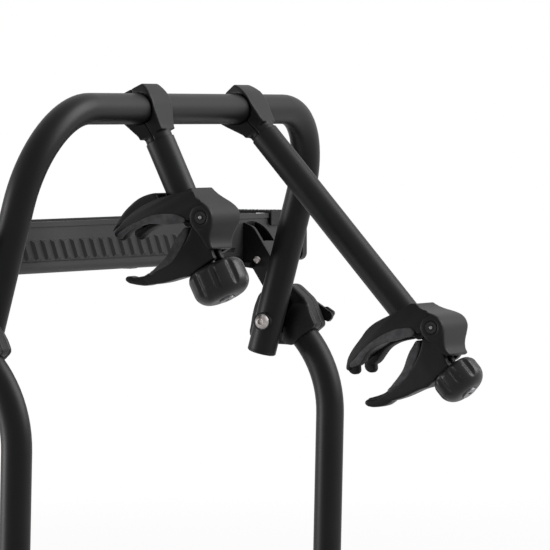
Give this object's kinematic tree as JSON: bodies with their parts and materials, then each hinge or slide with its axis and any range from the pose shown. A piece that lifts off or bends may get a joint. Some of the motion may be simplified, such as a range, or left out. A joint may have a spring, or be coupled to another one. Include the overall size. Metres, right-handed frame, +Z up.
{
  "type": "rear door bicycle carrier",
  "caption": "Black tubular rear-door bicycle carrier: a bow with hinged clamp arms, a lower frame with a rest pad, and folding wheel trays joined at round side hubs.",
  "frame": {"origin": "centre of the rest pad's flat face, where the carrier leans on the vehicle's rear door", "axes": "+X runs across the vehicle along the wheel trays, +Y points away from the vehicle, +Z is up; the pad's face looks along -Y"},
  "size_m": [0.9432, 0.6366, 0.5964],
  "materials": {
    "tube_paint": "satin black powder coat on steel tube and plate, slightly pebbled",
    "tray_metal": "satin black anodised extrusion with fine lengthwise lines",
    "housing_plastic": "fine-grained black glass-filled plastic",
    "knob_plastic": "grained black plastic, a little more worn on the lobes",
    "pad_rubber": "dark grey soft rubber",
    "rest_rubber": "black closed-cell foam rubber",
    "strap_rubber": "black ribbed strap",
    "zinc_steel": "bright zinc-plated steel",
    "black_steel": "blackened steel",
    "lock_metal": "dull chrome lock face"
  },
  "bodies": {
    "lower_frame": {"lower_frame_tube": "tube_paint", "rest_pad": "rest_rubber", "hub_body_left": "housing_plastic", "hub_body_right": "housing_plastic", "hub_cap_left": "housing_plastic", "hub_cap_right": "housing_plastic", "lever_pins": "zinc_steel", "pivot_bolts": "zinc_steel", "pivot_nuts": "zinc_steel"},
    "bow": {"bow_tube": "tube_paint", "leg_end_plugs": "housing_plastic", "leg_saddles": "housing_plastic"},
    "platform": {"bracket_left": "tube_paint", "bracket_right": "tube_paint", "bracket_rivets": "zinc_steel", "link_rail_left": "tube_paint", "link_rail_right": "tube_paint", "tray_bolts": "black_steel", "tray_front": "tray_metal", "tray_rear": "tray_metal", "tray_caps_front": "housing_plastic", "tray_caps_rear": "housing_plastic", "wheel_straps_front": "strap_rubber", "wheel_straps_rear": "strap_rubber", "buckle_bases_front": "housing_plastic", "buckle_bases_rear": "housing_plastic", "buckle_pins_front": "zinc_steel", "buckle_pins_rear": "zinc_steel"},
    "release_left": {"lever_left": "black_steel", "lever_grip_left": "housing_plastic"},
    "release_right": {"lever_right": "black_steel", "lever_grip_right": "housing_plastic"},
    "buckle_front_left": {"buckle_lever_front_left": "housing_plastic"},
    "buckle_front_right": {"buckle_lever_front_right": "housing_plastic"},
    "buckle_rear_left": {"buckle_lever_rear_left": "housing_plastic"},
    "buckle_rear_right": {"buckle_lever_rear_right": "housing_plastic"},
    "short_arm": {"short_collar_front": "housing_plastic", "short_collar_rear": "housing_plastic", "short_clamp_bolt": "black_steel", "short_arm_tube": "tube_paint", "short_claw_head": "housing_plastic", "short_claw_screw": "black_steel", "short_upper_pad": "pad_rubber"},
    "short_jaw_set": {"short_jaw": "housing_plastic", "short_jaw_pad": "pad_rubber", "short_spindle": "zinc_steel"},
    "short_knob_set": {"short_knob": "knob_plastic", "short_knob_lock": "lock_metal"},
    "long_arm": {"long_collar_front": "housing_plastic", "long_collar_rear": "housing_plastic", "long_clamp_bolt": "black_steel", "long_arm_tube": "tube_paint", "long_claw_head": "housing_plastic", "long_claw_screw": "black_steel", "long_upper_pad": "pad_rubber"},
    "long_jaw_set": {"long_jaw": "housing_plastic", "long_jaw_pad": "pad_rubber", "long_spindle": "zinc_steel"},
    "long_knob_set": {"long_knob": "knob_plastic", "long_knob_lock": "lock_metal"}
  },
  "joints": [
    {"name": "bow_tilt", "type": "hinge", "parent": "lower_frame", "child": "bow", "pos_m": [0, 0.0725, 0.33], "axis": [1, 0, 0], "range_deg": [-8, 60]},
    {"name": "platform_fold", "type": "hinge", "parent": "lower_frame", "child": "platform", "pos_m": [0, 0.0725, 0.33], "axis": [1, 0, 0], "range_deg": [-90, 5]},
    {"name": "release_left_press", "type": "hinge", "parent": "lower_frame", "child": "release_left", "pos_m": [-0.3575, 0.0555, 0.349], "axis": [-1, 0, 0], "range_deg": [0, 60]},
    {"name": "release_right_press", "type": "hinge", "parent": "lower_frame", "child": "release_right", "pos_m": [0.3575, 0.0555, 0.349], "axis": [-1, 0, 0], "range_deg": [0, 60]},
    {"name": "buckle_front_left_lift", "type": "hinge", "parent": "platform", "child": "buckle_front_left", "pos_m": [-0.395, 0.1845, 0.4294], "axis": [1, 0, 0], "range_deg": [0, 70]},
    {"name": "buckle_front_right_lift", "type": "hinge", "parent": "platform", "child": "buckle_front_right", "pos_m": [0.395, 0.1845, 0.4294], "axis": [1, 0, 0], "range_deg": [0, 70]},
    {"name": "buckle_rear_left_lift", "type": "hinge", "parent": "platform", "child": "buckle_rear_left", "pos_m": [-0.395, 0.3845, 0.4174], "axis": [1, 0, 0], "range_deg": [0, 70]},
    {"name": "buckle_rear_right_lift", "type": "hinge", "parent": "platform", "child": "buckle_rear_right", "pos_m": [0.395, 0.3845, 0.4174], "axis": [1, 0, 0], "range_deg": [0, 70]},
    {"name": "short_arm_swing", "type": "hinge", "parent": "bow", "child": "short_arm", "pos_m": [-0.09, 0.01242, 0.54963], "axis": [-1, 0, 0], "range_deg": [-5, 225]},
    {"name": "short_jaw_hinge", "type": "hinge", "parent": "short_arm", "child": "short_jaw_set", "pos_m": [-0.09, -0.06134, 0.44623], "axis": [-1, 0, 0], "range_deg": [-29.5, 4.5]},
    {"name": "short_knob_turn", "type": "hinge", "parent": "short_jaw_set", "child": "short_knob_set", "pos_m": [-0.09, -0.06379, 0.38877], "axis": [0, -0.4446, -0.8957], "range_deg": [-1042, 159]},
    {"name": "long_arm_swing", "type": "hinge", "parent": "bow", "child": "long_arm", "pos_m": [0.122, 0.01242, 0.54963], "axis": [-1, 0, 0], "range_deg": [-5, 225]},
    {"name": "long_jaw_hinge", "type": "hinge", "parent": "long_arm", "child": "long_jaw_set", "pos_m": [0.122, -0.20653, 0.33611], "axis": [-1, 0, 0], "range_deg": [-22, 12]},
    {"name": "long_knob_turn", "type": "hinge", "parent": "long_jaw_set", "child": "long_knob_set", "pos_m": [0.122, -0.22281, 0.28375], "axis": [0, -0.6626, -0.749], "range_deg": [-777, 424]}
  ],
  "couplings": [
    {"joint": "short_jaw_hinge", "follows": "short_knob_turn", "ratio": 0.0283},
    {"joint": "long_jaw_hinge", "follows": "long_knob_turn", "ratio": 0.0283}
  ]
}
